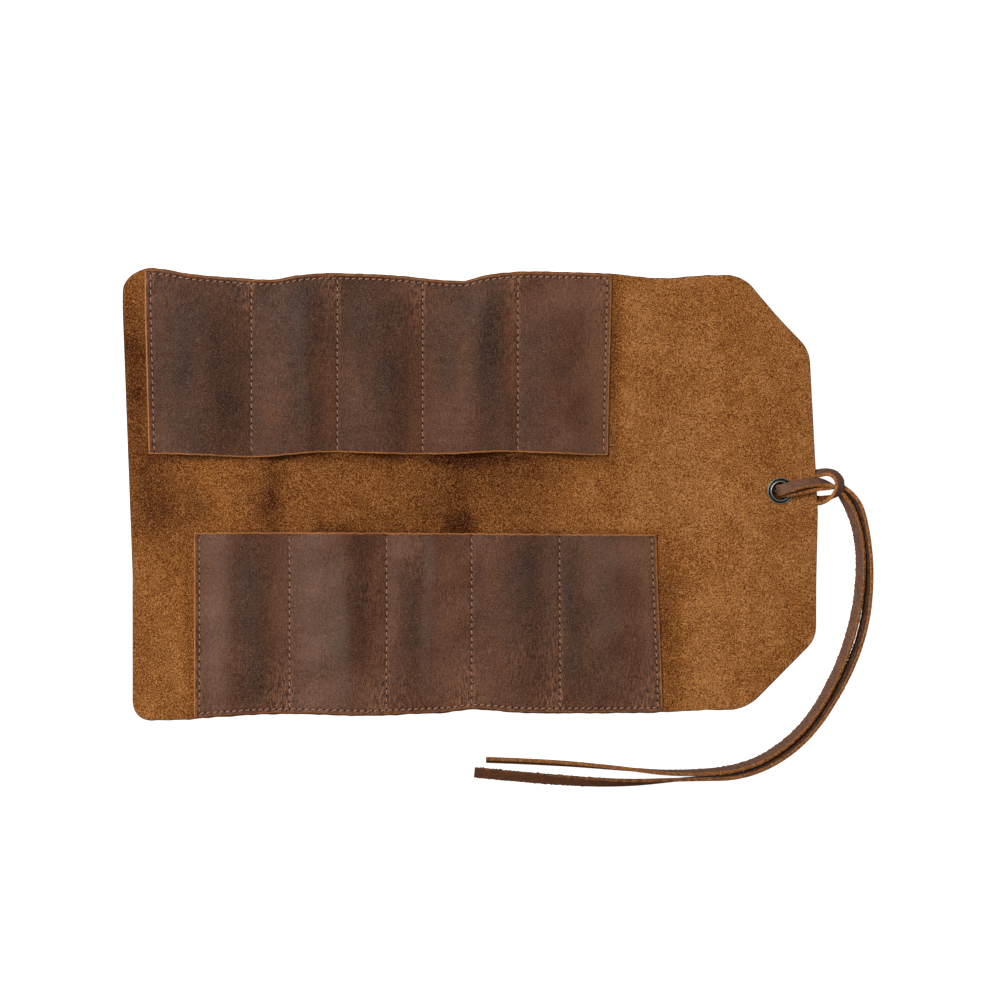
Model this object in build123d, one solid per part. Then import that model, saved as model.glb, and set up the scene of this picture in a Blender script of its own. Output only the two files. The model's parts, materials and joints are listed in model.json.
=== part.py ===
from build123d import *
import math
import os

# Brush roll case, lying open and flat. A leather backing carries two rows of pockets, one
# along its far edge and one along its near edge. A cut-cornered flap at the right-hand end
# holds an eyelet, and a flat lace is looped through it for tying the rolled case shut.
#
# Millimetres. The origin is on the table, below the middle of the case. +X runs along the
# case towards the flap, +Y runs across it towards the far edge, +Z is up. The suede side
# of the leather is up, and the case rolls up from its left end with the pockets inside.
#
# Leather bends everywhere. Here it is cut into strips that are hinged to each other just
# beside every sewn seam, where the real case folds most, and the strips roll up together.

# ---- driving dimensions ------------------------------------------------------------------
CASE_LENGTH = 393.7
CASE_WIDTH = 251.0
BACKING_THICKNESS = 2.0
POCKET_LEATHER = 1.4
POCKET_ROOM = 4.6
POCKET_DEPTH = 102.0

CORNER_RADIUS = 10.0
FLAP_CUT_ALONG = 41.0
FLAP_CUT_ACROSS = 43.0
FLAP_SIDE_CORNER_RADIUS = 26.0
FLAP_END_CORNER_RADIUS = 18.0
FLAP_LIFT = 3.4

# The sewn seams of each row of pockets, as places along the case.
UPPER_SEAMS = [-181.5, -123.7, -74.9, -26.7, 27.2, 79.4]
LOWER_SEAMS = [-154.3, -102.1, -47.1, 1.1, 51.1, 107.2]
SEAM_FLANGE = 2.6
SIDE_RAMP = 9.0
END_RAMP = 12.0
END_FLANGE = 5.0
ROW_INSET = 0.7
BORDER_STITCH_INSET = 2.4

THREAD_WIDTH = 0.8
THREAD_HEIGHT = 0.5

# Rolling up: the roll's first turn, how far each turn stands outside the last one, and how
# much of the flat flap its own hinge bends for.
HINGE_AFTER_SEAM = 3.2
FLAP_HINGES = [135.0, 160.0]
ROLL_INNER_RADIUS = 22.0
ROLL_TURN_SPACING = 14.5
FLAP_SHARE = 15.0
FOLD_CLEARANCE = 0.3

EYELET_AT = (175.7, 2.0)
EYELET_BORE = 9.0
EYELET_BARREL = 10.0
EYELET_FLANGE = 15.0
EYELET_FLANGE_HEIGHT = 1.0
EYELET_CHAMFER = 0.4
WASHER_OUTER = 14.0
WASHER_THICKNESS = 0.6

LACE_WIDTH = 6.0
LACE_THICKNESS = 2.2
BIGHT_DIAMETER = 2.6
TAIL_DIAMETER = 4.0
TAIL_GAP = 0.3

# ---- worked out from the above -----------------------------------------------------------
HALF_LENGTH = CASE_LENGTH / 2
HALF_WIDTH = CASE_WIDTH / 2
SEAM_TOP = BACKING_THICKNESS + POCKET_LEATHER
CREST_INSIDE = BACKING_THICKNESS + POCKET_ROOM
CREST_TOP = CREST_INSIDE + POCKET_LEATHER
ROW_END = HALF_WIDTH - ROW_INSET
ROW_MOUTH = ROW_END - POCKET_DEPTH
HINGES = sorted(seam + HINGE_AFTER_SEAM for seam in UPPER_SEAMS + LOWER_SEAMS) + FLAP_HINGES
STRIP_EDGES = [-HALF_LENGTH] + HINGES + [HALF_LENGTH]
STRIP_COUNT = len(STRIP_EDGES) - 1
FLAP_TOP = FLAP_LIFT + BACKING_THICKNESS

# How far a cutting solid runs past what it cuts.
CUT_CLEAR = 1.0


def fold_angles():
    """The turn of each hinge, in degrees, when the case is rolled up tight."""
    angles = []
    for index, hinge in enumerate(HINGES):
        rolled_length = hinge + HALF_LENGTH
        radius = math.sqrt(ROLL_INNER_RADIUS**2 + rolled_length * ROLL_TURN_SPACING / math.pi)
        left_strip = hinge - STRIP_EDGES[index]
        right_strip = STRIP_EDGES[index + 2] - hinge
        if index == len(HINGES) - 1:
            right_strip = FLAP_SHARE
        arc = (left_strip + right_strip) / 2
        angles.append(math.degrees(arc / radius))
    return angles


FOLD_ANGLES = fold_angles()


def underside(x):
    """Height of the backing's underside: flat on the table, then up to the flap."""
    start, end = FLAP_HINGES
    return FLAP_LIFT * min(max((x - start) / (end - start), 0.0), 1.0)


def prism_along_y(outline, y_low, y_high):
    """A solid whose XZ outline runs straight along Y."""
    face = make_face(Polyline([(x, 0, z) for x, z in outline], close=True))
    return extrude(Pos(0, y_low, 0) * face, amount=y_high - y_low, dir=(0, 1, 0))


def prism_along_x(outline, x_low, x_high):
    """A solid whose YZ outline runs straight along X."""
    face = make_face(Polyline([(0, y, z) for y, z in outline], close=True))
    return extrude(Pos(x_low, 0, 0) * face, amount=x_high - x_low, dir=(1, 0, 0))


def box_between(low, high):
    size = [b - a for a, b in zip(low, high)]
    middle = [(a + b) / 2 for a, b in zip(low, high)]
    return Pos(*middle) * Box(*size)


# ---- backing -----------------------------------------------------------------------------
def case_outline():
    """Plan outline: two rounded left corners and a flap with two cut, rounded corners."""
    cut_start = HALF_LENGTH - FLAP_CUT_ALONG
    cut_end = HALF_WIDTH - FLAP_CUT_ACROSS
    corners = [
        (-HALF_LENGTH, -HALF_WIDTH),
        (cut_start, -HALF_WIDTH),
        (HALF_LENGTH, -cut_end),
        (HALF_LENGTH, cut_end),
        (cut_start, HALF_WIDTH),
        (-HALF_LENGTH, HALF_WIDTH),
    ]
    flap_radii = [FLAP_SIDE_CORNER_RADIUS, FLAP_END_CORNER_RADIUS]
    radii = [CORNER_RADIUS] + flap_radii + flap_radii[::-1] + [CORNER_RADIUS]
    return make_face(FilletPolyline(corners, radius=radii, close=True))


def backing_strips():
    plan = extrude(case_outline(), amount=FLAP_TOP + CUT_CLEAR)
    strips = []
    for left, right in zip(STRIP_EDGES, STRIP_EDGES[1:]):
        section = [
            (left, underside(left)),
            (right, underside(right)),
            (right, underside(right) + BACKING_THICKNESS),
            (left, underside(left) + BACKING_THICKNESS),
        ]
        strips.append(plan & prism_along_y(section, -HALF_WIDTH - CUT_CLEAR, HALF_WIDTH + CUT_CLEAR))
    eyelet_hole = Pos(*EYELET_AT, FLAP_LIFT) * Cylinder(EYELET_BARREL / 2, 2 * FLAP_TOP)
    strips[-1] = strips[-1] - eyelet_hole
    return strips


# ---- pocket fronts -----------------------------------------------------------------------
def row_shell(seams):
    """One row's pocket leather in one piece, mouth towards -Y: sewn flat on its seams and
    its far end, and standing open between them."""
    left = seams[0] - SEAM_FLANGE
    right = seams[-1] + SEAM_FLANGE
    roof = [(left, BACKING_THICKNESS), (left, SEAM_TOP)]
    rooms = []
    for seam, next_seam in zip(seams, seams[1:]):
        foot, next_foot = seam + SEAM_FLANGE, next_seam - SEAM_FLANGE
        roof += [(foot, SEAM_TOP), (foot + SIDE_RAMP, CREST_TOP)]
        roof += [(next_foot - SIDE_RAMP, CREST_TOP), (next_foot, SEAM_TOP)]
        rooms.append([
            (foot, BACKING_THICKNESS),
            (foot + SIDE_RAMP, CREST_INSIDE),
            (next_foot - SIDE_RAMP, CREST_INSIDE),
            (next_foot, BACKING_THICKNESS),
        ])
    roof += [(right, SEAM_TOP), (right, BACKING_THICKNESS)]
    end_foot = ROW_END - END_FLANGE
    end_roof = [
        (ROW_MOUTH, BACKING_THICKNESS),
        (ROW_MOUTH, CREST_TOP),
        (end_foot - END_RAMP, CREST_TOP),
        (end_foot, SEAM_TOP),
        (ROW_END, SEAM_TOP),
        (ROW_END, BACKING_THICKNESS),
    ]
    beyond_mouth = ROW_MOUTH - CUT_CLEAR
    end_room = [
        (beyond_mouth, BACKING_THICKNESS),
        (beyond_mouth, CREST_INSIDE),
        (end_foot - END_RAMP, CREST_INSIDE),
        (end_foot, BACKING_THICKNESS),
    ]
    shell = prism_along_y(roof, ROW_MOUTH, ROW_END) & prism_along_x(end_roof, left, right)
    hollow_end = prism_along_x(end_room, left, right)
    for room in rooms:
        shell -= prism_along_y(room, beyond_mouth, ROW_END) & hollow_end
    return shell


def fold_space(index):
    """The space over one strip that stays on that strip's side of both fold planes, so the
    pocket leather of two strips never meets when the fold between them closes."""
    top = CREST_TOP + CUT_CLEAR
    rise = top - BACKING_THICKNESS
    left = STRIP_EDGES[index] + FOLD_CLEARANCE
    right = STRIP_EDGES[index + 1] - FOLD_CLEARANCE
    lean_left = lean_right = 0.0
    if index > 0:
        lean_left = rise * math.tan(math.radians(FOLD_ANGLES[index - 1] / 2))
    if index < STRIP_COUNT - 1:
        lean_right = rise * math.tan(math.radians(FOLD_ANGLES[index] / 2))
    section = [
        (left, BACKING_THICKNESS),
        (right, BACKING_THICKNESS),
        (right - lean_right, top),
        (left + lean_left, top),
    ]
    return prism_along_y(section, -HALF_WIDTH, HALF_WIDTH)


def strips_under(seams):
    """The strips that a row of pockets lies on."""
    left = seams[0] - SEAM_FLANGE
    right = seams[-1] + SEAM_FLANGE
    return [
        index for index in range(STRIP_COUNT)
        if STRIP_EDGES[index + 1] > left and STRIP_EDGES[index] < right - SEAM_FLANGE
    ]


# ---- stitching ---------------------------------------------------------------------------
def strip_stitching(index):
    """The thread of every seam on one strip, as plain beads on the pocket leather."""
    low, high = SEAM_TOP, SEAM_TOP + THREAD_HEIGHT
    half = THREAD_WIDTH / 2
    border = ROW_END - BORDER_STITCH_INSET
    space = fold_space(index)
    beads = []
    for seams, side in ((UPPER_SEAMS, 1), (LOWER_SEAMS, -1)):
        if index not in strips_under(seams):
            continue
        left = max(STRIP_EDGES[index], seams[0] - half)
        right = min(STRIP_EDGES[index + 1], seams[-1] + half)
        across = sorted((side * (border - half), side * (border + half)))
        bead = box_between((left, across[0], low), (right, across[1], high))
        for seam in seams:
            if STRIP_EDGES[index] < seam < STRIP_EDGES[index + 1]:
                along = sorted((side * (ROW_MOUTH + half), side * border))
                bead += box_between((seam - half, along[0], low), (seam + half, along[1], high))
        beads += (bead & space).solids()
    return beads


# ---- eyelet ------------------------------------------------------------------------------
def eyelet():
    """A short barrel through the flap with a flange on the suede side."""
    bottom = FLAP_LIFT - WASHER_THICKNESS
    top = FLAP_TOP + EYELET_FLANGE_HEIGHT
    bore, barrel, flange = EYELET_BORE / 2, EYELET_BARREL / 2, EYELET_FLANGE / 2
    shoulder = EYELET_CHAMFER
    section = Polyline(
        (bore, 0, bottom),
        (barrel, 0, bottom),
        (barrel, 0, FLAP_TOP),
        (flange, 0, FLAP_TOP),
        (flange, 0, FLAP_TOP + shoulder),
        (flange - shoulder, 0, top),
        (bore + shoulder, 0, top),
        (bore, 0, top - shoulder),
        close=True,
    )
    return Pos(*EYELET_AT, 0) * revolve(make_face(section), axis=Axis.Z)


def eyelet_washer():
    middle = FLAP_LIFT - WASHER_THICKNESS / 2
    ring = Cylinder(WASHER_OUTER / 2, WASHER_THICKNESS)
    ring -= Cylinder(EYELET_BARREL / 2, 2 * WASHER_THICKNESS)
    return Pos(*EYELET_AT, middle) * ring


# ---- lace --------------------------------------------------------------------------------
STRAND_BEND = 198.5
STRAND_END = 210.6
TABLE_GAP = 0.2
EYELET_GAP = 0.1


def lace_strand(order):
    """One flat strand: up out of the eyelet, over its flange, out past the flap's edge and
    down to the table. Order 0 is the lower strand, 1 the upper one."""
    offset = order * LACE_THICKNESS
    eyelet_x, eyelet_y = EYELET_AT
    right_face = eyelet_x + LACE_THICKNESS - offset
    left_face = right_face - LACE_THICKNESS
    bottom = BIGHT_DIAMETER + TABLE_GAP
    under = FLAP_TOP + EYELET_FLANGE_HEIGHT + EYELET_GAP + offset
    over = under + LACE_THICKNESS
    end_under = TABLE_GAP + offset
    section = [
        (left_face, bottom),
        (right_face, bottom),
        (right_face, under),
        (STRAND_BEND, under),
        (STRAND_END, end_under),
        (STRAND_END, end_under + LACE_THICKNESS),
        (STRAND_BEND, over),
        (left_face, over),
    ]
    return prism_along_y(section, eyelet_y - LACE_WIDTH / 2, eyelet_y + LACE_WIDTH / 2)


# The bight leaves the eyelet under the flap, comes out past the flap's edge, and arches
# over the two strands.
BIGHT_ROUTE = [
    (177.5, 3.8, 1.4),
    (187.5, 7.0, 1.4),
    (197.5, 10.0, 1.5),
    (203.6, 11.8, 3.8),
    (209.0, 9.4, 7.8),
    (211.6, 3.2, 9.2),
    (209.8, -3.2, 7.8),
    (204.8, -6.0, 3.8),
    (198.0, -4.6, 1.5),
    (188.0, -1.9, 1.4),
    (178.0, 0.4, 1.4),
]

# The two tails lie side by side: this is the line midway between them.
TAIL_ROUTE = [
    (212.6, -3.0),
    (219.0, -20.0),
    (225.5, -47.0),
    (222.5, -82.0),
    (208.0, -114.0),
    (184.0, -139.0),
    (150.0, -153.5),
    (108.0, -159.0),
    (72.0, -157.6),
    (38.0, -158.4),
    (4.0, -157.2),
]


ARC_SHARE = 0.45


def turn_radii(points):
    """The largest arc that each corner of a route has room for: the arc takes that share of
    the shorter run beside it."""
    radii = []
    for before, here, after in zip(points, points[1:], points[2:]):
        run_in = Vector(*here) - Vector(*before)
        run_out = Vector(*after) - Vector(*here)
        half_turn = math.radians(run_in.get_angle(run_out)) / 2
        radii.append(ARC_SHARE * min(run_in.length, run_out.length) / math.tan(half_turn))
    return radii


def round_tube(points, diameter, name):
    radii = turn_radii(points)
    path = FilletPolyline(points, radius=radii)
    start = Plane(origin=path @ 0, z_dir=path % 0)
    tube = sweep(start * Circle(diameter / 2), path=path)
    wanted = math.pi * diameter**2 / 4 * path.length
    print(f"{name}: length {path.length:.1f}, radii {[round(r, 1) for r in radii]}")
    print(f"{name}: volume {tube.volume:.1f}, section x length {wanted:.1f}")
    return tube


def tail_points(side):
    """The route of one tail: the middle line moved sideways by half the spacing."""
    shift = side * (TAIL_DIAMETER + TAIL_GAP) / 2
    middle = [Vector(x, y, 0) for x, y in TAIL_ROUTE]
    points = []
    for index, here in enumerate(middle):
        before = middle[max(index - 1, 0)]
        after = middle[min(index + 1, len(middle) - 1)]
        along = (after - before).normalized()
        moved = here + Vector(-along.Y, along.X, 0) * shift
        points.append((moved.X, moved.Y, TAIL_DIAMETER / 2))
    return points


# ---- files -------------------------------------------------------------------------------
def save(shape, name):
    export_step(shape, f"parts/{name}.step")


def main():
    os.makedirs("parts", exist_ok=True)

    for index, strip in enumerate(backing_strips()):
        save(strip, f"backing_strip_{index + 1:02d}")

    upper_row = row_shell(UPPER_SEAMS)
    lower_row = mirror(row_shell(LOWER_SEAMS), about=Plane.XZ)
    rows = (("upper", UPPER_SEAMS, upper_row), ("lower", LOWER_SEAMS, lower_row))
    for name, seams, row in rows:
        for index in strips_under(seams):
            save(row & fold_space(index), f"{name}_pocket_front_{index + 1:02d}")

    for index in strips_under(UPPER_SEAMS + LOWER_SEAMS):
        save(Compound(strip_stitching(index)), f"stitching_{index + 1:02d}")

    save(eyelet(), "eyelet")
    save(eyelet_washer(), "eyelet_washer")

    save(Compound([lace_strand(0), lace_strand(1)]), "lace_strands")
    save(round_tube(BIGHT_ROUTE, BIGHT_DIAMETER, "lace_bight"), "lace_bight")
    save(round_tube(tail_points(1), TAIL_DIAMETER, "lace_tail_outer"), "lace_tail_outer")
    save(round_tube(tail_points(-1), TAIL_DIAMETER, "lace_tail_inner"), "lace_tail_inner")

    print("hinges", [round(hinge, 1) for hinge in HINGES])
    print("fold angles", [round(angle, 2) for angle in FOLD_ANGLES], round(sum(FOLD_ANGLES)))


main()
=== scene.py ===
import json
import math
from types import SimpleNamespace

import bpy
import numpy as np
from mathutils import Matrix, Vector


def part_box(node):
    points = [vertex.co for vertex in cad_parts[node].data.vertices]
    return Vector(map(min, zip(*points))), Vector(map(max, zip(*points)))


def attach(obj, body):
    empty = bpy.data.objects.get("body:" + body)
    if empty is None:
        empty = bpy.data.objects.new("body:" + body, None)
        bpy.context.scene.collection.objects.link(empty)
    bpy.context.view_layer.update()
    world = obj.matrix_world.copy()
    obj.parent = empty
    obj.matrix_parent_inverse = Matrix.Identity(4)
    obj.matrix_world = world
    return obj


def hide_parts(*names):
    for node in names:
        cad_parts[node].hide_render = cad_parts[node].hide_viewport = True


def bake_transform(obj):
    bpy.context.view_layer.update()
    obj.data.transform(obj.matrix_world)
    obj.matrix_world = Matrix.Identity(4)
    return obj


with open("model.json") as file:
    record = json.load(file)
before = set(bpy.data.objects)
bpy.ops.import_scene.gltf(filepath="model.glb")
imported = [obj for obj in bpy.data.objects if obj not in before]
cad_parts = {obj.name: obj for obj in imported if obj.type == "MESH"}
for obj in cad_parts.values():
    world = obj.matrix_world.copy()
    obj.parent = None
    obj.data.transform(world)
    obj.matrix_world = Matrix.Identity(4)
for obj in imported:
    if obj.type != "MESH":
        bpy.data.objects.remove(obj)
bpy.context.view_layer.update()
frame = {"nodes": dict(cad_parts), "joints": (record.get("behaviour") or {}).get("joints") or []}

# The looks of a leather brush roll case that lies open: backing, two rows of sewn pockets,
# their stitching, an eyelet in the flap and the lace hitched through it.
#
# Lengths are millimetres in the frame of the CAD model, and turn into metres where a mesh,
# a curve or a place is handed to Blender. "Flat" coordinates (u, v) are places on the
# leather before it is draped: u runs along the case like X, v across it like Y. A height is
# measured up from the underside of the backing.
MM = 0.001


# ---- sizes taken from the frame ----------------------------------------------------------
def node_box(node):
    low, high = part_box(node)
    return np.array(low) / MM, np.array(high) / MM


def joint_place(name):
    joint = next(joint for joint in frame["joints"] if joint["name"] == name)
    return np.array(joint["pos_m"]) / MM


STRIP_COUNT = 15
FIRST_STRIP = node_box("backing_strip_01")
LAST_STRIP = node_box(f"backing_strip_{STRIP_COUNT:02d}")
HALF_LENGTH = LAST_STRIP[1][0]
HALF_WIDTH = FIRST_STRIP[1][1]
BACKING = FIRST_STRIP[1][2]
FLAP_LIFT = LAST_STRIP[0][2]
FOLDS = [f"fold_{n:02d}" for n in range(1, STRIP_COUNT - 1)] + ["roll_up"]
HINGES = [joint_place(name)[0] for name in FOLDS]
STRIP_EDGES = [-HALF_LENGTH] + HINGES + [HALF_LENGTH]

SEAM_BEFORE_HINGE = 3.2
SEAMED_HINGES = HINGES[:12]
UPPER_SEAMS = [hinge - SEAM_BEFORE_HINGE for hinge in SEAMED_HINGES[0::2]]
LOWER_SEAMS = [hinge - SEAM_BEFORE_HINGE for hinge in SEAMED_HINGES[1::2]]
# The first seam of each row is sewn a little further in from the row's left end.
FIRST_SEAM_SHIFT = 0.9
ROW_BOX = node_box("upper_pocket_front_01")
ROW_MOUTH = ROW_BOX[0][1]
ROW_END = ROW_BOX[1][1]
SEAM_FLANGE = UPPER_SEAMS[0] - ROW_BOX[0][0]
UPPER_SEAMS[0] += FIRST_SEAM_SHIFT
LOWER_SEAMS[0] += FIRST_SEAM_SHIFT
POCKET_LEATHER = 1.4
BORDER_SEAM = ROW_END - 2.4

EYELET_BOX = node_box("eyelet")
EYELET_X, EYELET_Y, _ = (EYELET_BOX[0] + EYELET_BOX[1]) / 2
FLANGE_RADIUS = (EYELET_BOX[1][0] - EYELET_BOX[0][0]) / 2
EYELET_BOTTOM = EYELET_BOX[0][2]
FLAP_TOP = LAST_STRIP[1][2]
EYELET_BORE_RADIUS = 4.5

CORNER_RADIUS = 10.0
FLAP_CUT_ALONG = 41.0
FLAP_CUT_ACROSS = 43.0
FLAP_SIDE_CORNER_RADIUS = 26.0
FLAP_END_CORNER_RADIUS = 18.0

BORDER_STITCH_PITCH = 3.8
SEAM_STITCH_PITCH = 4.1
CELLS_PER_STITCH = 5
FIRST_HOLE_FROM_MOUTH = 1.4
CUT_INSET = 0.45
POCKET_CUT_INSET = 0.8
CUT_DROP = 0.45


# ---- how the leather lies ----------------------------------------------------------------
def smoothstep(value, low, high):
    share = np.clip((value - low) / (high - low), 0, 1)
    return share * share * (3 - 2 * share)


def bump(u, centre, left, right, height):
    """A rounded rise of that height, with its own width on each side."""
    width = np.where(u < centre, left, right)
    return height * np.exp(-(((u - centre) / width) ** 2))


def bumps(u, rises):
    return sum(bump(u, *rise) for rise in rises)


def unevenness(u, v, length, seed):
    """A gentle random field, about -1 to 1, whose swells are about that long."""
    draw = np.random.default_rng(seed)
    total = 0
    for _ in range(7):
        angle = draw.uniform(0, 2 * math.pi)
        wave = length * draw.uniform(0.7, 1.6)
        phase = draw.uniform(0, 2 * math.pi)
        total = total + np.sin(2 * math.pi * (u * math.cos(angle) + v * math.sin(angle)) / wave + phase)
    return total / 3.5


# The long edges wander in and out where the leather buckles: centre, left and right width
# and size of each swing, on top of the edge's usual distance from the middle line.
FAR_EDGE = 124.5
FAR_EDGE_SWINGS = [(-181, 9, 18, 3.9), (-112, 30, 11, -2.6), (-80, 12, 34, 0.9), (-5, 28, 10, -3.4),
                   (30, 14, 62, 1.9), (108, 18, 20, -2.2)]
NEAR_EDGE = 124.0
NEAR_EDGE_SWINGS = [(-180, 40, 48, 4.0), (-58, 30, 26, 1.4), (2, 12, 20, -2.1), (140, 26, 60, -1.9)]
# The swells that lift the backing off the table.
SWELLS = [(-165, 25, 28, 1.3), (-86, 14, 34, 2.6), (20, 14, 42, 2.4)]
SWELL_SLANT = 0.05
# How far leather slides along X: the near left corner, the right end on its far and near
# side, and the right end of the lower row.
LEFT_DRIFT = 5.6
RIGHT_FAR_DRIFT = -5.0
RIGHT_NEAR_DRIFT = -1.0
ROW_DRIFT = -4.1


def swell(u, v):
    return bumps(u + SWELL_SLANT * v, SWELLS)


def underside(u, v):
    """Height of the backing's underside above the table."""
    lift = FLAP_LIFT * smoothstep(u, HINGES[-2] - 4, HINGES[-1] + 4)
    return lift + swell(u, v)


def drape(u, v, height):
    """Flat places and heights as points of the draped leather, in metres."""
    far = FAR_EDGE + bumps(u, FAR_EDGE_SWINGS) - HALF_WIDTH
    near = NEAR_EDGE + bumps(u, NEAR_EDGE_SWINGS) - HALF_WIDTH
    toward_near = np.clip((105 - v) / 150, 0, 1)
    left_drift = LEFT_DRIFT * toward_near * np.clip((-150 - u) / 47, 0, 1)
    right_end = smoothstep(u, 130, HALF_LENGTH)
    right_drift = RIGHT_FAR_DRIFT * np.clip((v + 10) / 95, 0, 1.2) * right_end
    right_drift = right_drift + RIGHT_NEAR_DRIFT * smoothstep(-v, 0, 60) * right_end
    row_end = smoothstep(u, 45, 82) * (1 - smoothstep(u, 118, 150))
    row_drift = ROW_DRIFT * row_end * bump(v, -15, 80, 140, 1)
    x = u + left_drift + right_drift + row_drift
    y = v + np.sign(v) * np.where(v > 0, far, near) * (v / HALF_WIDTH) ** 2
    z = underside(u, v) + height
    return np.stack([x, y, z], axis=-1) * MM


# ---- zones: a piece of leather is cut along the middle of each strip, so that it holds
# the one hinge that lies inside it ----------------------------------------------------
def strip_middle(index):
    return (STRIP_EDGES[index] + STRIP_EDGES[index + 1]) / 2


ZONE_CUTS = [strip_middle(index) for index in range(STRIP_COUNT)]
ZONE_CUTS[0] = -HALF_LENGTH
ZONE_CUTS[-1] = HALF_LENGTH


def turn_about_hinge(piece):
    """Bakes the piece's placement into its mesh."""
    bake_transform(piece)


# ---- meshes ------------------------------------------------------------------------------
def link(made):
    bpy.context.scene.collection.objects.link(made)


def make_object(name, points, faces, materials, face_materials, flat_faces, fields):
    """A mesh object, without points that no face uses. fields are (name, values) at points,
    which are numbers or vectors."""
    used, packed = np.unique(np.concatenate([np.ravel(face) for face in faces]), return_inverse=True)
    points = points[used]
    sizes = [len(face) for face in faces]
    ends = np.cumsum(sizes)
    faces = [packed[end - size:end].tolist() for end, size in zip(ends, sizes)]
    mesh = bpy.data.meshes.new(name)
    mesh.from_pydata(points.tolist(), [], faces)
    mesh.polygons.foreach_set("material_index", np.asarray(face_materials, np.int32))
    smooth = np.ones(len(faces), bool)
    if flat_faces is not None:
        smooth = ~np.asarray(flat_faces, bool)
    mesh.polygons.foreach_set("use_smooth", smooth)
    if flat_faces is not None:
        crease_round(mesh, ~smooth)
    for material in materials:
        mesh.materials.append(material)
    for field, values in fields:
        values = np.asarray(values, np.float32)[used]
        kind, key = ("FLOAT_VECTOR", "vector") if values.ndim == 2 else ("FLOAT", "value")
        mesh.attributes.new(field, kind, "POINT").data.foreach_set(key, values.ravel())
    mesh.update()
    piece = bpy.data.objects.new(name, mesh)
    link(piece)
    return piece


def crease_round(mesh, chosen):
    """Marks every edge of the chosen faces sharp, so that their neighbours shade smoothly."""
    edge_of_corner = np.zeros(len(mesh.loops), np.int32)
    mesh.loops.foreach_get("edge_index", edge_of_corner)
    corners = np.zeros(len(mesh.polygons), np.int32)
    mesh.polygons.foreach_get("loop_total", corners)
    sharp = np.zeros(len(mesh.edges), bool)
    sharp[edge_of_corner[np.repeat(chosen, corners)]] = True
    mesh.edges.foreach_set("use_edge_sharp", sharp)


def slab(name, u, v, bottom, top, cut_ends, materials, fields, open_cells=None):
    """A closed slab of leather over a grid of flat places, columns along u and rows along v.
    cut_ends says whether its left and right ends are real cut edges; its long edges are.
    Material 0 is the upper face, 1 the lower face and 2 the cut edge."""
    columns, rows = u.shape
    index = np.arange(columns * rows).reshape(columns, rows)
    rim = np.zeros((columns - 1, rows - 1), bool)
    rim[:, 0] = rim[:, -1] = True
    rim[0, :] |= cut_ends[0]
    rim[-1, :] |= cut_ends[1]
    present = np.ones((columns - 1, rows - 1), bool)
    if open_cells is not None:
        present &= ~open_cells
    a, b, c, d = index[:-1, :-1], index[1:, :-1], index[1:, 1:], index[:-1, 1:]
    top_faces = np.stack([a, b, c, d], -1)[present]
    bottom_faces = np.stack([d, c, b, a], -1)[present] + columns * rows
    top_material = np.where(rim, 2, 0)[present]
    bottom_material = np.where(rim, 2, 1)[present]

    padded = np.zeros((columns + 1, rows + 1), bool)
    padded[1:-1, 1:-1] = present
    walls, wall_flat = [], []
    sides = (
        (padded[1:-1, :-2], a, b),
        (padded[1:-1, 2:], c, d),
        (padded[:-2, 1:-1], d, a),
        (padded[2:, 1:-1], b, c),
    )
    for side, (neighbour, first, second) in enumerate(sides):
        bare = present & ~neighbour
        start, finish = first[bare], second[bare]
        walls.append(np.stack([start, start + columns * rows, finish + columns * rows, finish], -1))
        inner_cut = (side == 2 and not cut_ends[0]) or (side == 3 and not cut_ends[1])
        wall_flat.append(np.full(len(start), inner_cut))
    walls = np.concatenate(walls)
    faces = np.concatenate([top_faces, bottom_faces, walls])
    face_materials = np.concatenate([top_material, bottom_material, np.full(len(walls), 2)])
    flat_faces = np.concatenate([np.zeros(len(top_faces) + len(bottom_faces), bool), *wall_flat])
    points = np.concatenate([drape(u, v, top).reshape(-1, 3), drape(u, v, bottom).reshape(-1, 3)])
    place = np.stack([u, v, top], -1).reshape(-1, 3)
    under_place = np.stack([u, v, bottom], -1).reshape(-1, 3)
    both = [("flat_place", np.concatenate([place, under_place]))]
    for field, values in fields:
        both.append((field, np.concatenate([values.ravel(), values.ravel()])))
    return make_object(name, points, faces, materials, face_materials, flat_faces, both)


# ---- materials ---------------------------------------------------------------------------
LIGHT_ON_TABLE = 1.35


def paint(red, green, blue):
    """The base colour that shows as this sRGB colour, 0 to 255, under this scene's light."""
    channels = []
    for value in (red, green, blue):
        value = value / 255
        linear = value / 12.92 if value <= 0.04045 else ((value + 0.055) / 1.055) ** 2.4
        channels.append(min(linear / LIGHT_ON_TABLE, 1.0))
    return (*channels, 1.0)


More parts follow.
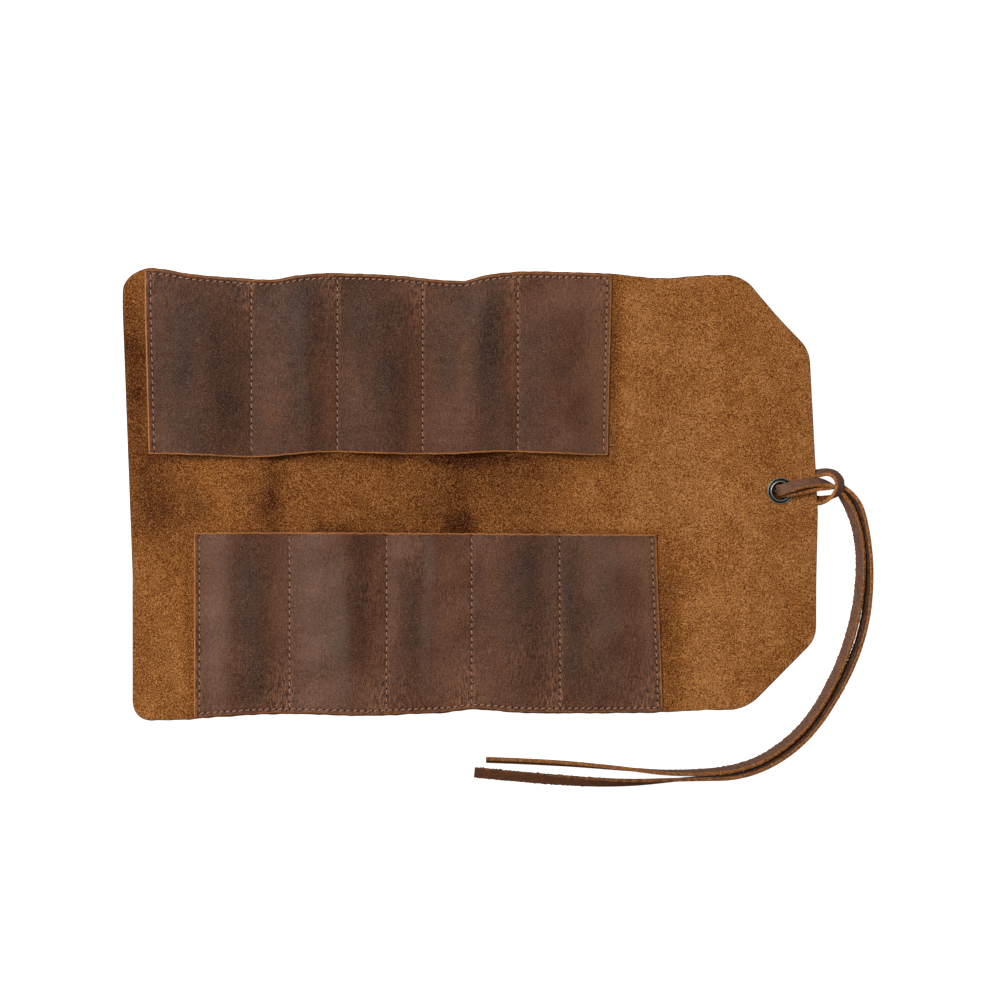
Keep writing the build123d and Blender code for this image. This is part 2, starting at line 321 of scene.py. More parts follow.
class Shader:
    """A material under construction: each method adds one node and returns its output."""

    def __init__(self, name, roughness, specular):
        self.material = bpy.data.materials.new(name)
        self.material.use_nodes = True
        self.tree = self.material.node_tree
        self.surface = self.tree.nodes["Principled BSDF"]
        self.surface.inputs["Roughness"].default_value = roughness
        self.surface.inputs["Specular IOR Level"].default_value = specular

    def add(self, kind, inputs=None, **settings):
        node = self.tree.nodes.new(kind)
        for key, value in settings.items():
            setattr(node, key, value)
        for key, value in (inputs or {}).items():
            if isinstance(value, bpy.types.NodeSocket):
                self.tree.links.new(value, node.inputs[key])
            else:
                node.inputs[key].default_value = value
        return node

    def field(self, name):
        return self.add("ShaderNodeAttribute", attribute_name=name).outputs["Fac"]

    def place(self, stretch, shift):
        source = self.add("ShaderNodeAttribute", attribute_name="flat_place").outputs["Vector"]
        inputs = {"Vector": source, "Scale": stretch, "Location": shift}
        return self.add("ShaderNodeMapping", inputs).outputs[0]

    def noise(self, size, stretch=(1, 1, 1), detail=2.0, roughness=0.5, distortion=0.0, shift=(0, 0, 0)):
        """Noise from 0 to 1, whose blots are about that many millimetres across."""
        inputs = {"Vector": self.place(stretch, shift), "Scale": 1 / size, "Detail": detail,
                  "Roughness": roughness, "Distortion": distortion}
        return self.add("ShaderNodeTexNoise", inputs).outputs["Fac"]

    def fit(self, value, low, high, to_low=0.0, to_high=1.0):
        inputs = {"Value": value, "From Min": low, "From Max": high, "To Min": to_low, "To Max": to_high}
        return self.add("ShaderNodeMapRange", inputs).outputs[0]

    def maths(self, operation, first, second):
        return self.add("ShaderNodeMath", {0: first, 1: second}, operation=operation).outputs[0]

    def mix(self, share, first, second):
        inputs = {0: share, 6: first, 7: second}
        return self.add("ShaderNodeMix", inputs, data_type="RGBA").outputs[2]

    def relief(self, height, depth, strength):
        """Bump of that many millimetres for heights from 0 to 1."""
        inputs = {"Height": height, "Strength": strength, "Distance": depth * MM}
        normal = self.add("ShaderNodeBump", inputs).outputs[0]
        self.tree.links.new(normal, self.surface.inputs["Normal"])

    def colour(self, output):
        self.tree.links.new(output, self.surface.inputs["Base Color"])

    def roughen(self, output):
        self.tree.links.new(output, self.surface.inputs["Roughness"])


def suede():
    """The flesh side: a short nap in specks of light and dark, with cloudy patches."""
    made = Shader("suede_flesh_side", 0.95, 0.06)
    made.surface.inputs["Sheen Weight"].default_value = 0.06
    made.surface.inputs["Sheen Roughness"].default_value = 0.5
    made.surface.inputs["Sheen Tint"].default_value = (0.9, 0.6, 0.35, 1)
    clouds = made.fit(made.noise(38, detail=2, distortion=0.5), 0.3, 0.7, -0.09, 0.09)
    patches = made.fit(made.noise(8, detail=3, roughness=0.6), 0.3, 0.7, -0.08, 0.08)
    clumps = made.fit(made.noise(1.9, detail=2, roughness=0.6), 0.3, 0.7, -0.05, 0.05)
    # The field tone carries painted shade and painted light as well as the suede's own tone.
    tone = made.maths("ADD", made.field("tone"), 0.5)
    for part in (clouds, patches, clumps):
        tone = made.maths("ADD", tone, part)
    deep = made.mix(made.fit(tone, -0.15, 0.5), paint(54, 16, 0), paint(137, 80, 31))
    colour = made.mix(made.fit(tone, 0.5, 1.15), deep, paint(205, 142, 84))
    nap = made.noise(0.6, detail=1, roughness=0.5)
    light = made.maths("MULTIPLY", made.fit(nap, 0.5, 0.72, 0.0, 0.68), made.fit(tone, -0.1, 0.6, 0.4, 1.0))
    colour = made.mix(light, colour, paint(216, 155, 96))
    colour = made.mix(made.fit(nap, 0.5, 0.31, 0.0, 0.8), colour, paint(46, 4, 0))
    made.colour(colour)
    made.relief(nap, 0.3, 0.8)
    return made.material


def grain(name, base, red, seed):
    """The oiled grain side: close pores and fine pulled-up lines where it is creased. The field tone
    darkens or lightens it, warmth makes it bluish-grey or orange-brown, crease brings out the fine lines
    and hole paints shade into the stitch holes. On the pocket fronts tone and warmth hold the leather's own
    blotches together with painted shade and painted sheen; on the outer lace tail tone is a painted shadow."""
    made = Shader(name, 0.52, 0.11)
    shift = (seed * 37.0, seed * 91.0, 0)
    clouds = made.noise(22, (1, 0.6, 1), detail=3, roughness=0.55, distortion=0.8, shift=shift)
    streaks = made.noise(2.4, (1, 0.3, 1), detail=3, roughness=0.6, distortion=0.4, shift=shift)
    fibre = made.noise(0.72, (1, 0.18, 1), detail=2, roughness=0.6, distortion=0.5, shift=shift)
    pores = made.noise(0.62, detail=2, roughness=0.7, shift=shift)
    tone = made.field("tone")
    warmth = made.field("warmth")
    creases = made.fit(made.field("crease"), 0.1, 1.0, 0.05, 0.95)
    layers = [
        (made.fit(streaks, 0.48, 0.75, 0.0, 0.4), (112, 70, 46)),
        (made.fit(tone, 0.0, -0.7), (38, 23, 17)),
        (made.fit(tone, 0.0, 1.0), (132, 100, 84)),
        (made.fit(warmth, 0.0, 1.0, 0.0, 0.6), (122, 72, 40)),
        (made.fit(warmth, 0.0, -1.0, 0.0, 0.6), (74, 66, 61)),
        (made.maths("MULTIPLY", made.fit(fibre, 0.42, 0.64), creases), (146, 98, 70)),
        (made.maths("MULTIPLY", made.fit(fibre, 0.5, 0.3), creases), (40, 22, 15)),
        (made.fit(pores, 0.28, 0.5, 0.85, 0.0), (34, 18, 12)),
        (made.fit(pores, 0.5, 0.72, 0.0, 0.6), (140, 100, 78)),
        # Painted shade in the stitch holes.
        (made.fit(made.field("hole"), 0.15, 0.6), (10, 6, 5)),
    ]
    colour = made.mix(made.fit(clouds, 0.35, 0.65), base, red)
    for share, shade in layers:
        colour = made.mix(share, colour, paint(*shade))
    made.colour(colour)
    made.roughen(made.fit(made.noise(4, detail=3, shift=shift), 0.3, 0.7, 0.44, 0.62))
    creased = made.maths("MULTIPLY", fibre, made.field("crease"))
    height = made.maths("ADD", made.maths("MULTIPLY", pores, 0.4), creased)
    made.relief(height, 0.35, 0.8)
    return made.material


def cut_edge(name, light, dark, size=0.7):
    """The raw, fibrous cut through the leather, dulled where its grime field is high: by the finish and
    grime, and along the lower row's mouth by painted shade.
    """
    made = Shader(name, 0.9, 0.1)
    fibres = made.noise(size, detail=2, roughness=0.7)
    colour = made.mix(made.fit(fibres, 0.35, 0.65), dark, light)
    patchy = made.fit(made.noise(3.5, detail=3, roughness=0.6), 0.38, 0.6, 0.45, 1.0)
    colour = made.mix(made.maths("MULTIPLY", made.field("grimy"), patchy), colour, paint(84, 52, 36))
    made.colour(colour)
    made.relief(fibres, 0.35, 0.8)
    return made.material


def thread():
    made = Shader("waxed_thread", 0.62, 0.3)
    fuzz = made.noise(0.5, detail=2, roughness=0.6)
    made.colour(made.mix(made.fit(fuzz, 0.35, 0.65), paint(146, 98, 72), paint(212, 158, 122)))
    made.relief(fuzz, 0.12, 0.6)
    return made.material


def metal(name):
    """Blackened brass, rubbed bright where the field worn is high."""
    made = Shader(name, 0.42, 0.5)
    made.surface.inputs["Metallic"].default_value = 1.0
    cloud = made.noise(1.6, detail=3, roughness=0.6)
    dark = made.mix(made.fit(cloud, 0.35, 0.65), (0.006, 0.007, 0.007, 1), (0.03, 0.032, 0.03, 1))
    made.colour(made.mix(made.field("worn"), dark, (0.26, 0.28, 0.26, 1)))
    made.roughen(made.fit(cloud, 0.3, 0.7, 0.3, 0.5))
    made.relief(cloud, 0.05, 0.5)
    return made.material


SUEDE = suede()
POCKET_GRAIN = grain("pocket_grain_side", paint(70, 42, 28), paint(85, 49, 32), 1)
OUTER_GRAIN = grain("outer_grain_side", paint(74, 46, 33), paint(96, 58, 38), 2)
POCKET_EDGE = cut_edge("pocket_cut_edge", paint(208, 136, 78), paint(150, 88, 44))
BACKING_EDGE = cut_edge("backing_cut_edge", paint(134, 80, 42), paint(70, 38, 18))
THREAD = thread()
METAL = metal("blackened_brass")


# ---- backing -----------------------------------------------------------------------------
def half_width(u):
    """How far the flat outline reaches from the middle line at a place along the case."""
    left_centre = -HALF_LENGTH + CORNER_RADIUS
    into_left = np.clip(left_centre - u, 0, CORNER_RADIUS)
    reach = HALF_WIDTH - CORNER_RADIUS + np.sqrt(CORNER_RADIUS**2 - into_left**2)

    slope = math.atan2(FLAP_CUT_ACROSS, FLAP_CUT_ALONG)
    cut_start = HALF_LENGTH - FLAP_CUT_ALONG
    radius = FLAP_SIDE_CORNER_RADIUS
    side_centre = cut_start - radius * math.tan(slope / 2)
    side_arc = HALF_WIDTH - radius + np.sqrt(radius**2 - np.clip(u - side_centre, 0, radius) ** 2)
    side_arc_end = side_centre + radius * math.sin(slope)
    straight = HALF_WIDTH - (u - cut_start) * FLAP_CUT_ACROSS / FLAP_CUT_ALONG
    radius = FLAP_END_CORNER_RADIUS
    end_centre = HALF_LENGTH - radius
    end_reach = HALF_WIDTH - FLAP_CUT_ACROSS - radius * math.tan((math.pi / 2 - slope) / 2)
    end_arc = end_reach + np.sqrt(radius**2 - np.clip(u - end_centre, 0, radius) ** 2)
    end_arc_start = end_centre + radius * math.sin(slope)
    reach = np.where(u > side_centre, side_arc, reach)
    reach = np.where(u > side_arc_end, straight, reach)
    return np.where(u > end_arc_start, end_arc, reach)


def columns_between(left, right, step):
    count = max(int(round((right - left) / step)), 2)
    return np.linspace(left, right, count + 1)


BACKING_STEP = 1.5
FLAP_STEP = 1.0


def backing_columns(zone):
    """Places along the case, closer together round the corners of the outline."""
    left, right = ZONE_CUTS[zone], ZONE_CUTS[zone + 1]
    if zone == 0:
        turn = np.linspace(math.pi / 2, 0, 11)
        corner = -HALF_LENGTH + CORNER_RADIUS * (1 - np.sin(turn))
        rest = columns_between(corner[-1], right, BACKING_STEP)[1:]
        return np.concatenate([[corner[0], corner[0] + CUT_INSET], corner[2:], rest])
    if zone == len(HINGES) - 1:
        slope = math.atan2(FLAP_CUT_ACROSS, FLAP_CUT_ALONG)
        turn = np.linspace(slope, math.pi / 2, 11)
        corner = HALF_LENGTH - FLAP_END_CORNER_RADIUS * (1 - np.sin(turn))
        rest = columns_between(left, corner[0], FLAP_STEP)
        return np.concatenate([rest, corner[1:-2], [corner[-1] - CUT_INSET, corner[-1]]])
    return columns_between(left, right, BACKING_STEP)


ROWS_ACROSS = 166
SUEDE_RELIEF = 0.12
EDGE_WAVER = 0.18
UPPER_ROW_MIDDLE = -51
LOWER_ROW_MIDDLE = -23
ROW_HALF_LENGTH = 133
# Painted shade and painted light on the suede, in its dips and beside and between the pockets, together
# with its own darker and lighter patches: middle, reach along and across, and how much darker (below 0) or
# lighter.
SUEDE_SHADE_AND_TONE_PLACES = [
    (-113, -2, 7, 24, -0.4), (-152, -8, 8, 9, -0.24), (-5, -17, 9, 7, -0.5), (-3, 19, 20, 5, -0.3),
    (-77, -19, 16, 3, -0.2), (35, 13, 30, 7, -0.12), (-12, 2, 24, 18, -0.2), (-190, 66, 12, 60, -0.53),
    (-176, -4, 17, 34, -0.42), (-197, 86, 8, 24, -0.1), (-160, -75, 4, 55, -0.25), (84, 74, 4, 56, -0.42),
    (112, -75, 10, 52, -0.36), (170, 24, 14, 12, -0.14), (188, -75, 10, 30, -0.12), (150, 80, 9, 50, -0.08),
    (118, 96, 9, 14, -0.1), (120, -30, 12, 16, -0.1), (-60, -3, 22, 12, 0.12), (98, 104, 8, 14, 0.14),
    (-172, -98, 12, 30, 0.1), (-188, 96, 7, 12, 0.1), (132, -88, 10, 40, 0.08), (120, 0, 34, 30, 0.03),
]


def suede_tone(u, v):
    """Broad light and dark in the suede: its own tone, lighter towards the flap, with painted shade and
    light at the listed places and painted shade just outside the pockets' mouths."""
    tone = 0.08 * smoothstep(u, 60, 110) - 0.24 * smoothstep(u, -150, -90) * (1 - smoothstep(u, 20, 80))
    for x, y, along, across, strength in SUEDE_SHADE_AND_TONE_PLACES:
        tone = tone + strength * np.exp(-(((u - x) / along) ** 2) - ((v - y) / across) ** 2)
    # Painted shade on the suede just outside each row's mouth.
    far_mouth_painted_shade = bump(v, ROW_MOUTH - 2, 3, 6, 0.24) * (np.abs(u - UPPER_ROW_MIDDLE) < ROW_HALF_LENGTH)
    near_mouth_painted_shade = bump(v, -ROW_MOUTH + 1, 6, 2, 0.14) * (np.abs(u - LOWER_ROW_MIDDLE) < ROW_HALF_LENGTH)
    return tone - far_mouth_painted_shade - near_mouth_painted_shade


def calm_near_eyelet(u, v):
    away = np.hypot(u - EYELET_X, v - EYELET_Y)
    return smoothstep(away, FLANGE_RADIUS, FLANGE_RADIUS + 8)


def backing_zone(zone):
    places = backing_columns(zone)
    reach = half_width(places)
    inner = np.linspace(-1, 1, ROWS_ACROSS)
    u = np.repeat(places[:, None], ROWS_ACROSS + 2, axis=1)
    v = np.concatenate([-reach[:, None], (reach - CUT_INSET)[:, None] * inner, reach[:, None]], axis=1)
    first, last = zone == 0, zone == len(HINGES) - 1
    rough = unevenness(u, v, 14, 11) * calm_near_eyelet(u, v)
    top = BACKING + SUEDE_RELIEF * rough
    bottom = np.zeros_like(u)
    for edge in rim_slices(first, last):
        top[edge] -= CUT_DROP
        bottom[edge] += CUT_DROP
    v = v + EDGE_WAVER * unevenness(u, np.sign(v) * 40.0, 7, 5) * (np.abs(v) / HALF_WIDTH) ** 8
    cells = None
    if last:
        corners = np.hypot(u - EYELET_X, v - EYELET_Y) < EYELET_BORE_RADIUS + 0.6
        cells = corners[:-1, :-1] | corners[1:, :-1] | corners[1:, 1:] | corners[:-1, 1:]
    fields = [("tone", suede_tone(u, v))]
    name = f"backing_leather_{zone + 1:02d}"
    piece = slab(name, u, v, bottom, top, (first, last), [SUEDE, OUTER_GRAIN, BACKING_EDGE], fields, cells)
    turn_about_hinge(piece)
    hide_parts(f"backing_strip_{zone + 1:02d}", f"backing_strip_{zone + 2:02d}")


def rim_slices(left_cut, right_cut):
    """Grid places on the cut edges, each counted once."""
    slices = [(slice(None), 0), (slice(None), -1)]
    if left_cut:
        slices.append((0, slice(1, -1)))
    if right_cut:
        slices.append((-1, slice(1, -1)))
    return slices


# ---- pocket fronts -----------------------------------------------------------------------
POCKET_BULGE = 4.2
UPPER_BULGES = [(0.8, 1.15), (1.0, 0.85), (0.95, 1.1), (1.05, 1.2), (0.85, 0.9)]
LOWER_BULGES = [(1.05, 0.8), (1.1, 1.15), (0.9, 0.75), (1.0, 1.15), (0.8, 0.8)]
GROOVE_DEPTH = 0.3
GROOVE_REACH = 0.8
POCKET_RIPPLE = 0.1
HOLE_DEPTH = 0.7


def pocket_gap(u, v, row):
    """How far the pocket front stands off the backing."""
    gap = np.zeros_like(u)
    from_border = np.clip(BORDER_SEAM - np.abs(v), 0, None)
    end_rise = 1 - np.exp(-((from_border / 15) ** 2))
    for (start, finish), (size, lean) in zip(zip(row.seams, row.seams[1:]), row.bulges):
        share = np.clip((u - start) / (finish - start), 0, 1) ** lean
        hump = np.sin(math.pi * share) ** 1.4
        gap = gap + POCKET_BULGE * size * hump * end_rise
    soft = 1 + 0.12 * unevenness(u, v, 45, row.seed)
    toward_mouth = 0.82 + 0.18 * smoothstep(from_border, 20, 95)
    return gap * soft * toward_mouth


def seam_distance(u, seams):
    return np.min([np.abs(u - seam) for seam in seams], axis=0)


def front_top(u, v, row):
    """Height of the pocket leather's outer face over the backing's underside."""
    across = np.exp(-((seam_distance(u, row.seams) / GROOVE_REACH) ** 2))
    along = np.exp(-(((np.abs(v) - BORDER_SEAM) / GROOVE_REACH) ** 2))
    groove = GROOVE_DEPTH * np.maximum(across, along)
    ripple = POCKET_RIPPLE * unevenness(u, v, 9, row.seed + 1)
    return BACKING + POCKET_LEATHER + pocket_gap(u, v, row) - groove + ripple


def row_columns(seams):
    """Columns of one row's grid and which of them carry a stitch hole of the border seam."""
    left = seams[0] - SEAM_FLANGE - FIRST_SEAM_SHIFT
    right = seams[-1] + SEAM_FLANGE
    columns = [left, left + POCKET_CUT_INSET, seams[0] - 2 * GROOVE_REACH, seams[0] - GROOVE_REACH]
    holes = [False] * len(columns)
    for start, finish in zip(seams, seams[1:]):
        stitches = int(round((finish - start) / BORDER_STITCH_PITCH))
        cells = stitches * CELLS_PER_STITCH
        columns += list(start + (finish - start) * np.arange(cells) / cells)
        holes += [cell % CELLS_PER_STITCH == 0 for cell in range(cells)]
    columns += [seams[-1], seams[-1] + GROOVE_REACH, seams[-1] + 2 * GROOVE_REACH]
    columns += [right - POCKET_CUT_INSET, right]
    holes += [True, False, False, False, False]
    return np.array(columns), np.array(holes)


def row_rows():
    """Rows of the grid as distances from the middle line, mouth first, and which of them
    carry a stitch hole of the seams between pockets."""
    first_hole = ROW_MOUTH + FIRST_HOLE_FROM_MOUTH
    stitches = int(round((BORDER_SEAM - first_hole) / SEAM_STITCH_PITCH))
    cells = stitches * CELLS_PER_STITCH
    rows = [ROW_MOUTH, ROW_MOUTH + POCKET_CUT_INSET, ROW_MOUTH + 1.2]
    holes = [False] * len(rows)
    rows += list(first_hole + (BORDER_SEAM - first_hole) * np.arange(cells + 1) / cells)
    holes += [cell % CELLS_PER_STITCH == 0 for cell in range(cells + 1)]
    rows += [BORDER_SEAM + GROOVE_REACH, BORDER_SEAM + 1.5, ROW_END - POCKET_CUT_INSET, ROW_END]
    holes += [False] * 4
    return np.array(rows), np.array(holes)


# Patches on the pocket fronts: the leather's own blotches together with painted shade and painted sheen, as
# middle, reach along and across, light (above 0) or dark, and orange-brown (above 0) or bluish.
UPPER_PATCHES_SHADE_AND_SHEEN = [
    (-80, 80, 100, 90, -0.34, 0.18),
    (-175, 70, 5, 60, 0.2, 0), (-170, 34, 12, 16, 0.14, -0.2), (-150, 78, 32, 62, -0.32, 0.05),
    (-163, 88, 10, 40, -0.25, 0), (-137, 56, 12, 24, -0.2, 0), (-112, 52, 8, 30, 0.04, 0.4),
    (-100, 113, 26, 14, -0.35, 0.1), (-100, 62, 10, 30, -0.12, 0), (-95, 54, 4, 34, 0.16, -0.7),
    (-95, 99, 6, 20, -0.05, -0.7), (-87, 40, 4, 20, -0.1, 0.1), (-79, 50, 4, 38, 0.12, 0.4),
    (-64, 100, 16, 24, -0.4, 0.1), (-46, 100, 10, 20, -0.25, 0), (-48, 60, 5, 28, -0.1, -0.5),
    (-37, 66, 6, 40, -0.22, 0.1), (-62, 50, 9, 26, 0.06, 0.1), (-32, 60, 4, 50, 0.08, 0.3),
    (-14, 38, 13, 16, 0.24, 0.3), (-8, 96, 20, 26, -0.4, 0.2), (-4, 68, 7, 30, -0.15, 0.4),
    (12, 88, 8, 26, -0.5, -0.3), (10, 46, 5, 24, -0.2, -0.2), (19, 42, 4, 26, 0.24, -0.4),
    (24, 82, 3, 42, 0.16, 0.5), (35, 40, 9, 22, -0.35, 0.1), (58, 114, 22, 10, 0.26, 0.4),
    (47, 74, 13, 24, -0.12, -0.1), (72, 88, 8, 34, 0.26, 0.4), (77, 58, 5, 50, 0.22, 0.5),
    (60, 30, 20, 9, 0.22, 0.3), (57, 64, 26, 60, 0.12, 0.1),
]
LOWER_PATCHES_SHADE_AND_SHEEN = [
    (-143, -82, 8, 70, 0.5, 0), (-151, -50, 4, 40, 0.1, 0.4), (-125, -58, 8, 34, -0.3, -0.5),
    (-121, -100, 8, 20, -0.5, -0.2), (-109, -60, 6, 34, 0.12, 0.5), (-90, -60, 12, 70, 0.42, -0.1),
    (-73, -80, 6, 46, 0.4, -0.6), (-80, -114, 18, 12, 0.3, 0), (-61, -54, 7, 30, -0.5, 0),
    (-60, -108, 6, 16, 0.16, 0.3), (-53, -84, 4, 40, 0.14, 0.5), (-38, -28, 12, 8, 0.3, 0.2),
    (-43, -60, 5, 30, 0.22, 0.2), (-34, -72, 6, 42, -0.4, 0), (-23, -43, 3, 22, 0.34, -0.6),
    (-26, -84, 3, 28, 0.3, -0.5), (-17, -88, 7, 50, 0.16, 0.2), (-10, -72, 9, 60, 0.14, 0.3),
    (-2, -108, 6, 20, 0.14, 0.4), (14, -56, 9, 34, -0.25, 0.4), (6, -112, 8, 9, 0.3, 0.3),
    (26, -110, 10, 9, 0.16, 0.2), (33, -54, 7, 36, -0.5, -0.3), (44, -54, 5, 38, 0.3, -0.4),
    (49, -48, 3, 34, 0.16, 0.2), (39, -112, 6, 10, -0.3, 0.2), (58, -60, 6, 52, -0.35, -0.1),
    (63, -86, 9, 18, -0.2, 0), (80, -58, 11, 44, 0.26, -0.2), (86, -30, 24, 9, 0.28, 0.2),
    (98, -36, 10, 14, 0.2, 0.3), (103, -72, 4, 50, 0.26, 0.4), (92, -90, 4, 24, -0.1, 0.2),
]


def patch_shade_and_sheen_fields(u, v, patches_shade_and_sheen):
    """The summed tone and warmth of a row's patches, their painted shade and sheen included."""
    tone = 0.1 * unevenness(u, v, 26, 77)
    warmth = 0.12 * unevenness(u, v * 0.4, 18, 31)
    for x, y, along, across, light, warm in patches_shade_and_sheen:
        here = np.exp(-(((u - x) / along) ** 2) - ((v - y) / across) ** 2)
        tone = tone + light * here
        warmth = warmth + warm * here
    return tone, warmth


def crease_field(u, v, row):
    """Where fine creases run: in from the border, most of all just before each seam, and in
    stray patches."""
    before = np.min([np.where(u < seam + 2, np.abs(seam - u), 99) for seam in row.seams], axis=0)
    beside = np.exp(-((before / 10) ** 2))
    from_border = np.clip(BORDER_SEAM - np.abs(v), 0, None)
    near_border = np.exp(-((from_border / 24) ** 2))
    stray = np.clip(unevenness(u, v * 0.3, 20, 42), 0, 1)
    creased = 0.15 * beside + 0.2 * near_border + 0.9 * near_border * beside + 0.3 * stray
    return np.clip(0.12 + row.creasing * creased, 0, 1)


# How far a row's mouth wanders from its usual distance from the middle line.
UPPER_MOUTH_SWINGS = [(-122, 32, 16, -1.7), (-82, 12, 30, 1.1), (17, 18, 25, 1.3), (74, 15, 15, -0.7)]
LOWER_MOUTH_SWINGS = [(-120, 90, 160, -1.5)]


# side is 1 for the far row and -1 for the near one, and creasing is how strong its creases are.
UPPER = SimpleNamespace(
    name="upper", side=1, first_zone=0, seed=101, creasing=0.55, seams=UPPER_SEAMS,
    bulges=UPPER_BULGES, patches_shade_and_sheen=UPPER_PATCHES_SHADE_AND_SHEEN, mouth_swings=UPPER_MOUTH_SWINGS,
)
LOWER = SimpleNamespace(
    name="lower", side=-1, first_zone=1, seed=202, creasing=1.0, seams=LOWER_SEAMS,
    bulges=LOWER_BULGES, patches_shade_and_sheen=LOWER_PATCHES_SHADE_AND_SHEEN, mouth_swings=LOWER_MOUTH_SWINGS,
)
ROW_ZONES = 11


def pocket_row(row):
    """One row of pockets, in pieces that each lie across one hinge."""
    columns, border_holes = row_columns(row.seams)
    rows, seam_holes = row_rows()
    seam_columns = [int(np.argmin(np.abs(columns - seam))) for seam in row.seams]
    u, v = np.meshgrid(columns, row.side * rows, indexing="ij")
    top = front_top(u, v, row)
    bottom = top - POCKET_LEATHER
    hole = np.zeros_like(u)
    border_row = int(np.argmin(np.abs(rows - BORDER_SEAM)))
    hole[border_holes, border_row] = 1
    for column in seam_columns:
        hole[column, seam_holes] = 1
    # The hole field sinks each stitch hole and, in the grain shader, paints shade into it.
    top = top - HOLE_DEPTH * hole
    for edge in rim_slices(True, True):
        top[edge] -= CUT_DROP
        bottom[edge] += CUT_DROP * 0.5
    wander = 0.16 * unevenness(u, np.sign(v) * 10.0, 6, row.seed + 3) + bumps(u, row.mouth_swings)
    v = v + row.side * wander * np.exp(-(((np.abs(v) - ROW_MOUTH) / 12) ** 2))
    # The patches give tone and warmth, with their painted shade and painted sheen.
    tone, warmth = patch_shade_and_sheen_fields(u, v, row.patches_shade_and_sheen)
    grimy = 0.8 * smoothstep(np.abs(v), BORDER_SEAM, ROW_END)
    # On the lower row the cut mouth edge is darkened as painted shade.
    if row.side < 0:
        grimy = grimy + 0.45 * (np.abs(v) < ROW_MOUTH + 3)
    fields = {"tone": tone, "warmth": warmth, "crease": crease_field(u, v, row), "hole": hole,
              "grimy": np.clip(grimy, 0, 1)}
    if row.side < 0:
        u, v, top, bottom = (field[:, ::-1] for field in (u, v, top, bottom))
        fields = {key: values[:, ::-1] for key, values in fields.items()}

    last_zone = row.first_zone + ROW_ZONES - 1
    for zone in range(row.first_zone, last_zone + 1):
        left_cut, right_cut = zone == row.first_zone, zone == last_zone
        start = 0 if left_cut else int(np.argmin(np.abs(columns - ZONE_CUTS[zone])))
        finish = len(columns) - 1 if right_cut else int(np.argmin(np.abs(columns - ZONE_CUTS[zone + 1])))
        part = slice(start, finish + 1)
        cut_fields = [(key, values[part]) for key, values in fields.items()]
        name = f"{row.name}_pocket_leather_{zone + 1:02d}"
        materials = [POCKET_GRAIN, SUEDE, POCKET_EDGE]
        surfaces = (u[part], v[part], bottom[part], top[part])
        piece = slab(name, *surfaces, (left_cut, right_cut), materials, cut_fields)
        turn_about_hinge(piece)
        nodes = [f"{row.name}_pocket_front_{number:02d}" for number in (zone + 1, zone + 2)]
        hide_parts(*[node for node in nodes if node in frame["nodes"]])


# ---- stitching ---------------------------------------------------------------------------
PLY_RADIUS = 0.2
PLY_OFFSET = 0.14
STITCH_RINGS = 9
THREAD_SHOWS = 0.7
PLY_SIDES = 6


def stitch_holes():
    """Both rows' stitches as pairs of flat places, with the row that each belongs to."""
    stitches = []
    for row in (UPPER, LOWER):
        columns, border_holes = row_columns(row.seams)
        rows, seam_holes = row_rows()
        along = columns[border_holes]
        for start, finish in zip(along, along[1:]):
            stitches.append((row, (start, row.side * BORDER_SEAM), (finish, row.side * BORDER_SEAM)))
        across = rows[seam_holes]
        for seam in row.seams:
            for start, finish in zip(across, across[1:]):
                stitches.append((row, (seam, row.side * start), (seam, row.side * finish)))
    return stitches


def stitch_points(row, start, finish, under, draw):
    """The two plies of one stitch, as points in metres by ply, side and place along it."""
    start, finish = np.array(start), np.array(finish)
    run = finish - start
    length = np.hypot(*run)
    ahead = run / length
    aside = np.array([-ahead[1], ahead[0]])
    slant = draw.uniform(0.16, 0.3)
    lift_scale = draw.uniform(0.85, 1.1)
    share = np.linspace(0, 1, STITCH_RINGS)
    rise = np.sin(math.pi * share) ** 0.45
    side_shift = slant * np.sin(math.pi * (share - 0.5))
    line = start + run * (THREAD_SHOWS * (share[:, None] - 0.5) + 0.5) + aside * side_shift[:, None]
    if under:
        height = 0.45 - 0.62 * rise * lift_scale
    else:
        height = front_top(line[:, 0], line[:, 1], row) - 0.55 + 0.85 * rise * lift_scale
    turns = draw.uniform(1.3, 1.7)
    phase = draw.uniform(0, 2 * math.pi)
    rings = []
    for ply in (0, math.pi):
        twist = phase + ply + 2 * math.pi * turns * share
        middle = line + aside * (PLY_OFFSET * np.cos(twist))[:, None]
        middle_height = height + PLY_OFFSET * np.sin(twist)
        for corner in range(PLY_SIDES):
            angle = 2 * math.pi * corner / PLY_SIDES
            place = middle + aside * PLY_RADIUS * math.cos(angle)
            rings.append(drape(place[:, 0], place[:, 1], middle_height + PLY_RADIUS * math.sin(angle)))
    return np.array(rings).reshape(2, PLY_SIDES, STITCH_RINGS, 3)


def tube_faces(first):
    """Quads round a ply, and its two end caps."""
    index = first + np.arange(PLY_SIDES * STITCH_RINGS).reshape(PLY_SIDES, STITCH_RINGS)
    after = np.roll(index, -1, axis=0)
    quads = np.stack([index[:, :-1], index[:, 1:], after[:, 1:], after[:, :-1]], -1).reshape(-1, 4)
    return quads.tolist() + [index[:, 0].tolist(), index[::-1, -1].tolist()]


